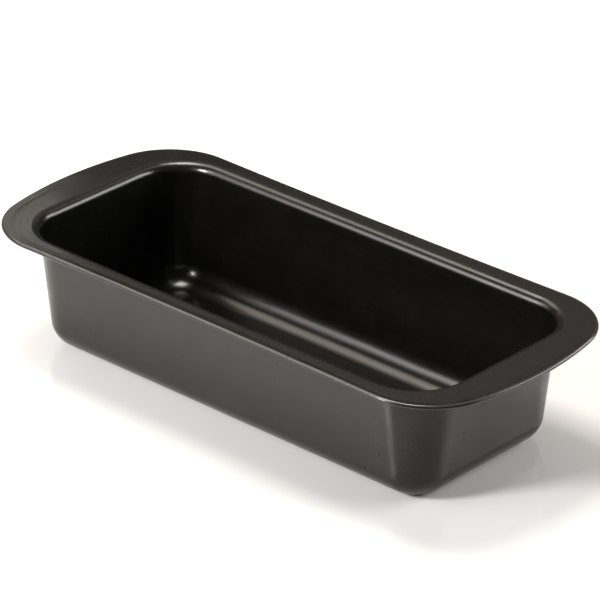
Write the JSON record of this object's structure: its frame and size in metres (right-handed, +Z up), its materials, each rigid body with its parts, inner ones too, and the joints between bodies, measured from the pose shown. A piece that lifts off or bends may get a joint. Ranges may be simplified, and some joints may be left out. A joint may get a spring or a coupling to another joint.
{
  "type": "loaf pan",
  "caption": "Long rectangular baking pan with drafted walls, rounded corners, a flat flange that widens into a grip at each end, and a rolled edge.",
  "frame": {"origin": "centre of the base's underside, on the surface that the pan stands on", "axes": "+X along the pan's length, +Y across it, +Z up out of the open mouth"},
  "size_m": [0.3294, 0.1484, 0.0685],
  "materials": {
    "sheet_steel": "cold-rolled carbon steel sheet, hidden under the coats",
    "wire_steel": "bright drawn wire, hidden in the rolled edge",
    "nonstick": "dark warm-grey nonstick coat with a fine metallic grain, satin",
    "outer_finish": "dark warm-grey heat-resistant coat, satin"
  },
  "bodies": {
    "root": {"steel_shell": "sheet_steel", "rim_wire": "wire_steel", "nonstick_coat": "nonstick", "outer_coat": "outer_finish"}
  },
  "joints": []
}
